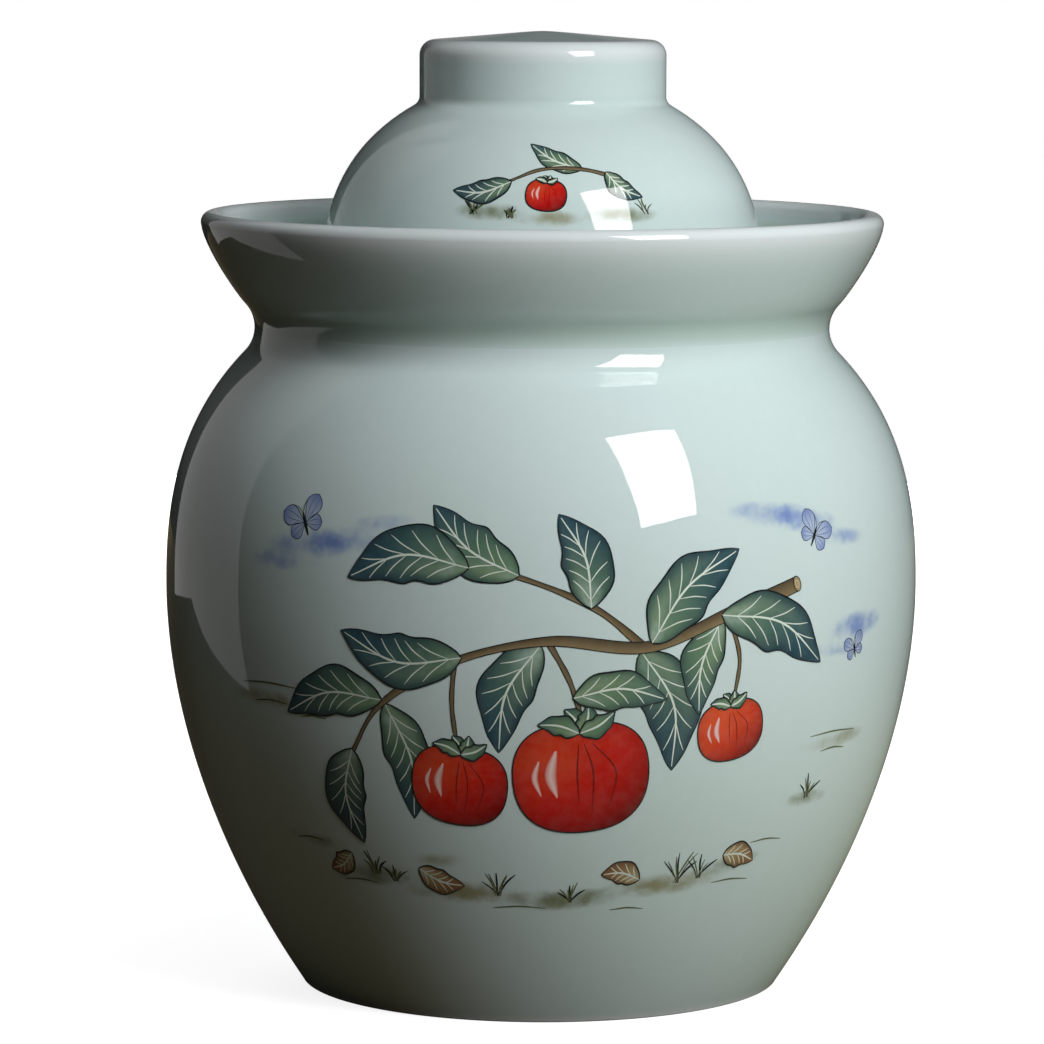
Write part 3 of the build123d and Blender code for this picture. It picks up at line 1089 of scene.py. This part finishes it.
# How bright the glaze shows the backdrop, from how far behind, and how far aside for each metre behind
reflected_backdrop = 0.2
backdrop_from = 3.5, 5.5
backdrop_aside = 0.04, 0.08
backdrop_half_angle = radians(10)
# The table as the jar sees it, near at its left and right, and further out: a dark brown with painted shade,
# darker at its left and darkest further out, and painted light, lighter at its right, which sets how much
# light it bounces onto the jar from each side
table_shade_turn = -0.02, 0.22
table_shade_reach = 0.2, 0.6
table_left_shaded = 0.08, 0.061, 0.033, 1
table_right_lit = 0.33, 0.34, 0.22, 1
table_far_shaded = 0.04, 0.03, 0.015, 1
floor_seen = 0.5, 0.5, 0.5, 1
studio = 0.012, 0.012, 0.010, 1
white = 1, 1, 1, 1


def backdrop_seen(s, behind):
    """1 for what the camera sees, or sees through glass, and less for reflections that end behind the jar."""
    path = s.node("ShaderNodeLightPath")
    glossy = s.math("MULTIPLY", path.outputs["Is Glossy Ray"], reflected_backdrop)
    reflected = s.math("MAXIMUM", glossy, path.outputs["Is Transmission Ray"])
    return s.math("MAXIMUM", path.outputs["Is Camera Ray"], s.math("MULTIPLY", reflected, behind))


def add_floor():
    """A pale floor that keeps the jar's soft shadow and turns to white further out."""
    mesh = bpy.data.meshes.new("floor")
    h = floor_half
    mesh.from_pydata([(-h, -h, 0), (h, -h, 0), (h, h, 0), (-h, h, 0)], [], [(0, 1, 2, 3)])
    floor = bpy.data.objects.new("floor", mesh)
    bpy.context.scene.collection.objects.link(floor)
    s = Shading("floor")
    s.surface.inputs["Roughness"].default_value = 0.9
    s.surface.inputs["Specular IOR Level"].default_value = 0.0
    distance = s.node("ShaderNodeVectorMath", operation="LENGTH")
    s.put(s.position(), distance.inputs[0])
    place = s.node("ShaderNodeSeparateXYZ")
    s.put(s.position(), place.inputs[0])
    aside = s.math("DIVIDE", s.math("ABSOLUTE", place.outputs["X"]), place.outputs["Y"])
    behind = s.spread(place.outputs["Y"], *backdrop_from)
    straight = s.spread(aside, *backdrop_aside, 1.0, 0.0)
    seen = backdrop_seen(s, s.math("MULTIPLY", behind, straight))
    # The table's colour for reflections and bounced light: painted shade at its left and further out, painted
    # light at its right
    near = s.mix(s.spread(place.outputs["X"], *table_shade_turn), table_left_shaded, table_right_lit)
    table = s.mix(s.spread(distance.outputs["Value"], *table_shade_reach), near, table_far_shaded)
    s.put(s.mix(seen, table, floor_seen), s.surface.inputs["Base Color"])
    level = s.spread(distance.outputs["Value"], *shadow_reach, shadow_white, 1.0)
    s.surface.inputs["Emission Color"].default_value = white
    s.put(s.math("MULTIPLY", level, seen), s.surface.inputs["Emission Strength"])
    mesh.materials.append(s.material)


def set_world():
    """White to the camera and straight behind the jar, and a dim warm studio to everything else."""
    world = bpy.data.worlds.new("world")
    world.use_nodes = True
    s = Shading.over(world)
    place = s.node("ShaderNodeSeparateXYZ")
    s.put(s.node("ShaderNodeTexCoord").outputs["Generated"], place.inputs[0])
    seen = backdrop_seen(s, s.spread(place.outputs["Y"], cos(backdrop_half_angle), 1.0))
    s.put(s.mix(seen, studio, white), s.surface.inputs["Color"])
    bpy.context.scene.world = world


add_camera()
add_light("key", (0.577, -0.698, 0.678), (15.2, 46.6), (0.373, 0.651), 12.1, roll=16.3)
add_fill("low_fill", 62, 4, 1.15, 0.02, (0.9, 0.16), 2.8)
add_fill("side_fill", 84, 6, 1.2, 0.15, (1.0, 0.9), 0.25)
add_fill("top_fill", 8, 50, 1.2, 0.15, (0.6, 0.6), 2.0)

# Two pale walls at the left that meet in a corner and show as a strip in the glaze
wall_height = 1.0
wall_brightness = 0.38
left_wall_width = 0.70
left_wall_azimuth = -56.4
back_wall_width = 0.28
back_wall_azimuth = 220.2
back_wall_rise = 0.3
wall_start = Vector((-0.365, 0.002, wall_height / 2))
wall_corner = wall_start + Vector((-0.388, 0.583, 0))
back_run = Vector((0.214, 0.181, 0))
left_wall = (wall_start + wall_corner) / 2, (left_wall_azimuth, 0), (left_wall_width, wall_height)
back_wall = (
    wall_corner + back_run / 2 + Vector((0, 0, back_wall_rise)),
    (back_wall_azimuth, 0),
    (back_wall_width, wall_height + 2 * back_wall_rise),
)
add_light("left_wall", *left_wall, wall_brightness, glow=False)
add_light("left_glow", *left_wall, 0.2, gloss=False)
add_light("back_wall", *back_wall, wall_brightness, glow=False)
add_fill("back_fill", 176, 6, 1.4, 0.15, (1.6, 0.64), 5.2)

add_floor()
set_world()
bpy.context.scene.view_settings.view_transform = "Standard"
